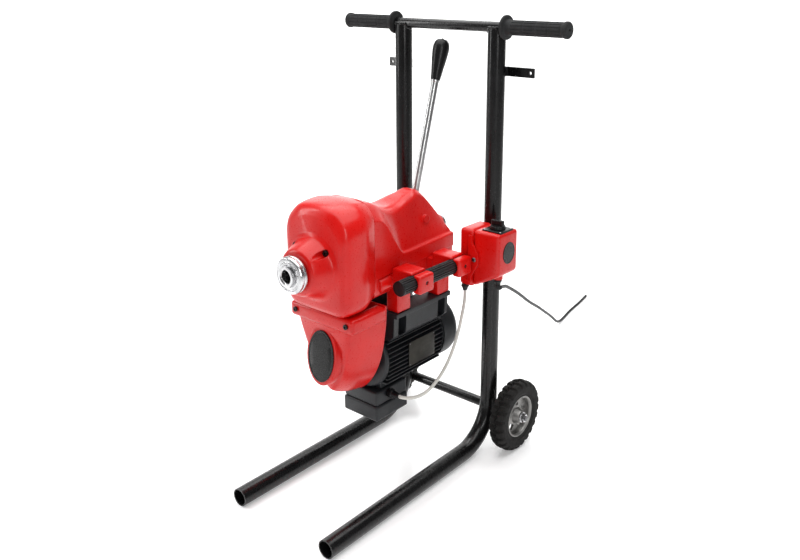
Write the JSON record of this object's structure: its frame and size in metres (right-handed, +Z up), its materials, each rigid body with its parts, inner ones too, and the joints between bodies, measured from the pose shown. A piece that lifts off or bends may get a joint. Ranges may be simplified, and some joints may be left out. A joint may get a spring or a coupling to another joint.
{
  "type": "drain cleaning machine",
  "caption": "Wheeled sectional drain snake machine: red belt-driven spindle head with a clutch lever over an electric motor, on a black tube stand with handlebar grips.",
  "frame": {"origin": "on the floor, under the centre of the stand's box without its supply cord", "axes": "+Z up, -Y the way the chuck points, +X towards the switch box"},
  "size_m": [0.59, 1.4807, 0.9775],
  "materials": {
    "red_paint": "glossy orange-red paint",
    "black_paint": "glossy black paint",
    "motor_grey": "satin charcoal paint on cast metal",
    "bright_steel": "polished steel",
    "dark_steel": "oiled machined steel",
    "rim_steel": "silver-grey lacquered steel",
    "grip_rubber": "matte ribbed rubber",
    "tyre_rubber": "matte tread rubber",
    "black_plastic": "smooth black plastic",
    "belt_rubber": "matte belt rubber",
    "emblem_black": "blank glossy black plate",
    "white_cable": "off-white cable sheath"
  },
  "bodies": {
    "stand": {"main_body": "red_paint", "top_cover": "red_paint", "front_cover": "red_paint", "belt_cover": "red_paint", "belt_case_back": "red_paint", "clamp_cap_front_right": "red_paint", "clamp_cap_front_left": "red_paint", "clamp_cap_rear_right": "red_paint", "clamp_cap_rear_left": "red_paint", "switch_bracket": "red_paint", "switch_box": "red_paint", "frame_tube_right": "black_paint", "frame_tube_left": "black_paint", "top_bar": "black_paint", "axle_tube": "black_paint", "support_bar_right": "black_paint", "support_bar_left": "black_paint", "motor_body": "motor_grey", "motor_shield_front": "motor_grey", "motor_shield_rear": "motor_grey", "fan_cover": "motor_grey", "terminal_box": "motor_grey", "terminal_lid": "motor_grey", "spindle_bearing_front": "bright_steel", "spindle_bearing_rear": "bright_steel", "lever_pin": "bright_steel", "axle_nut_right": "bright_steel", "axle_nut_left": "bright_steel", "axle_rod": "dark_steel", "grip_right": "grip_rubber", "grip_left": "grip_rubber", "bar_sleeve_right": "grip_rubber", "bar_sleeve_left": "grip_rubber", "cam_switch": "black_plastic", "motor_gland": "black_plastic", "cable_gland": "black_plastic", "cord_gland": "black_plastic", "supply_cord": "black_plastic", "drive_belt": "belt_rubber", "front_emblem": "emblem_black", "motor_cable": "white_cable"},
    "spindle": {"spindle": "bright_steel", "nose_ring": "bright_steel", "spindle_pulley": "dark_steel"},
    "jaw_1": {"chuck_jaw_1": "dark_steel"},
    "jaw_2": {"chuck_jaw_2": "dark_steel"},
    "jaw_3": {"chuck_jaw_3": "dark_steel"},
    "clutch": {"clutch_sleeve": "dark_steel"},
    "lever": {"lever_yoke": "dark_steel", "lever_rod": "bright_steel", "lever_knob": "black_plastic"},
    "rotor": {"motor_rotor": "dark_steel", "motor_fan": "black_plastic", "motor_pulley": "dark_steel"},
    "wheel_right": {"tyre_right": "tyre_rubber", "rim_right": "rim_steel"},
    "wheel_left": {"tyre_left": "tyre_rubber", "rim_left": "rim_steel"},
    "switch_knob": {"switch_knob": "black_plastic"}
  },
  "joints": [
    {"name": "motor_turn", "type": "hinge", "parent": "stand", "child": "rotor", "pos_m": [0, -0.26875, 0.287], "axis": [0, 1, 0], "continuous": true},
    {"name": "spindle_turn", "type": "hinge", "parent": "stand", "child": "spindle", "pos_m": [0, -0.26875, 0.518], "axis": [0, 1, 0], "continuous": true},
    {"name": "lever_swing", "type": "hinge", "parent": "stand", "child": "lever", "pos_m": [0, 0.08345, 0.556], "axis": [-1, 0, 0], "range_deg": [0, 45]},
    {"name": "clutch_slide", "type": "slide", "parent": "stand", "child": "clutch", "axis": [0, -1, 0], "range_m": [0, 0.03]},
    {"name": "wheel_right_roll", "type": "hinge", "parent": "stand", "child": "wheel_right", "pos_m": [0.182, 0.23325, 0.0815], "axis": [1, 0, 0], "continuous": true},
    {"name": "wheel_left_roll", "type": "hinge", "parent": "stand", "child": "wheel_left", "pos_m": [-0.182, 0.23325, 0.0815], "axis": [1, 0, 0], "continuous": true},
    {"name": "switch_turn", "type": "hinge", "parent": "stand", "child": "switch_knob", "pos_m": [0.181, 0.14775, 0.544], "axis": [0, 0, 1], "range_deg": [-45, 45]},
    {"name": "jaw_1_slide", "type": "slide", "parent": "spindle", "child": "jaw_1", "axis": [0, 0, -1], "range_m": [0, 0.004]},
    {"name": "jaw_2_slide", "type": "slide", "parent": "spindle", "child": "jaw_2", "axis": [-0.866, 0, 0.5], "range_m": [0, 0.004]},
    {"name": "jaw_3_slide", "type": "slide", "parent": "spindle", "child": "jaw_3", "axis": [0.866, 0, 0.5], "range_m": [0, 0.004]}
  ],
  "couplings": [
    {"joint": "spindle_turn", "follows": "motor_turn", "ratio": 0.38583},
    {"joint": "clutch_slide", "follows": "lever_swing", "m_per_rad": 0.03819},
    {"joint": "jaw_1_slide", "follows": "lever_swing", "m_per_rad": 0.00509},
    {"joint": "jaw_2_slide", "follows": "lever_swing", "m_per_rad": 0.00509},
    {"joint": "jaw_3_slide", "follows": "lever_swing", "m_per_rad": 0.00509}
  ]
}
